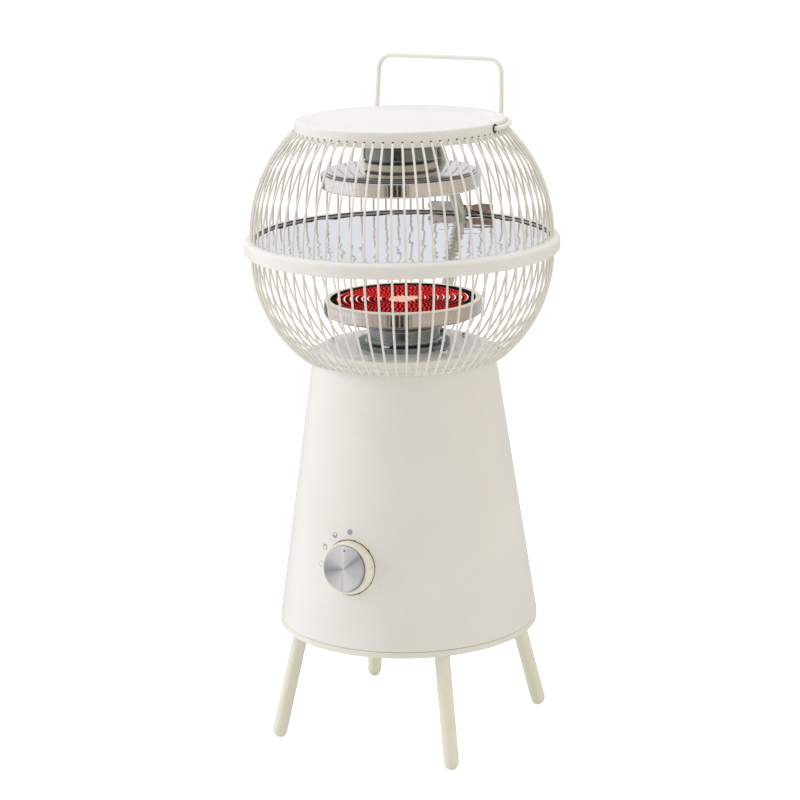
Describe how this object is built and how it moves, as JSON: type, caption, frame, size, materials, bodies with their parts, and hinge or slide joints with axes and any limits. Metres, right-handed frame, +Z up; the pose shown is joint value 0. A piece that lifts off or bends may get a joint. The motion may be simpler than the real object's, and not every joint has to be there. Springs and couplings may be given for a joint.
{
  "type": "radiant heater",
  "caption": "Free-standing radiant heater: wire globe with two facing radiant units and a mirror disc, on a tapered body with a knob, splayed round legs and a fold-over handle.",
  "frame": {"origin": "on the floor, under the middle of the feet and of the whole part", "axes": "+Z up along the body axis; the knob faces -Y"},
  "size_m": [0.33, 0.33, 0.7165],
  "materials": {
    "cream_paint": "satin powder coat",
    "wire_paint": "satin powder coat",
    "mirror_sheet": "polished",
    "bright_steel": "polished",
    "plain_steel": "plain",
    "tube_paint": "satin",
    "unit_steel": "satin",
    "pale_ceramic": "matt fibre",
    "grey_ceramic": "matt fibre",
    "dark_glass": "gloss",
    "glowing_coil": "glowing",
    "knob_plastic": "satin",
    "spun_aluminium": "spun",
    "dark_plastic": "matt"
  },
  "bodies": {
    "root": {"base_screws": "plain_steel", "base_tray": "cream_paint", "body_shell": "cream_paint", "conduit_ferrules": "dark_plastic", "conduit_tube": "tube_paint", "cord_gland": "dark_plastic", "disc_rivets": "bright_steel", "equator_ring": "cream_paint", "floor_plate": "cream_paint", "floor_plate_screws": "bright_steel", "gland_nut": "plain_steel", "leg_bolts": "plain_steel", "leg_front_left": "cream_paint", "leg_front_right": "cream_paint", "leg_rear_left": "cream_paint", "leg_rear_right": "cream_paint", "lower_cage_wires": "wire_paint", "lower_coil": "glowing_coil", "lower_glass": "dark_glass", "lower_insulation_bed": "grey_ceramic", "lower_insulation_ring": "pale_ceramic", "lower_pan": "unit_steel", "lower_reflector_disc": "mirror_sheet", "lower_spacer_large": "pale_ceramic", "lower_spacer_small": "grey_ceramic", "lower_stand": "unit_steel", "lower_stand_screws": "bright_steel", "pivot_bushes": "dark_plastic", "rotary_switch": "dark_plastic", "switch_bracket": "plain_steel", "switch_nut": "plain_steel", "terminal_block": "dark_plastic", "terminal_screws": "plain_steel", "thermal_cutout": "plain_steel", "tilt_switch": "dark_plastic", "top_cover": "cream_paint", "top_inner_plate": "plain_steel", "top_plate_screws": "plain_steel", "tube_saddle": "bright_steel", "upper_cage_wires": "wire_paint", "upper_coil": "glowing_coil", "upper_glass": "dark_glass", "upper_insulation_bed": "grey_ceramic", "upper_insulation_ring": "pale_ceramic", "upper_pan": "unit_steel", "upper_reflector_disc": "mirror_sheet", "upper_spacer_large": "pale_ceramic", "upper_spacer_small": "grey_ceramic", "upper_stand": "unit_steel", "upper_stand_screws": "bright_steel"},
    "handle": {"handle": "cream_paint", "handle_clips": "plain_steel"},
    "knob": {"knob_body": "knob_plastic", "knob_cap": "spun_aluminium", "knob_shaft": "plain_steel"}
  },
  "joints": [
    {"name": "handle_fold", "type": "hinge", "parent": "root", "child": "handle", "pos_m": [0, 0, 0.6546], "axis": [1, 0, 0], "range_deg": [0, 140]},
    {"name": "knob_turn", "type": "hinge", "parent": "root", "child": "knob", "pos_m": [0, -0.12596, 0.2114], "axis": [0, -0.9893, 0.1457], "range_deg": [0, 90]}
  ]
}
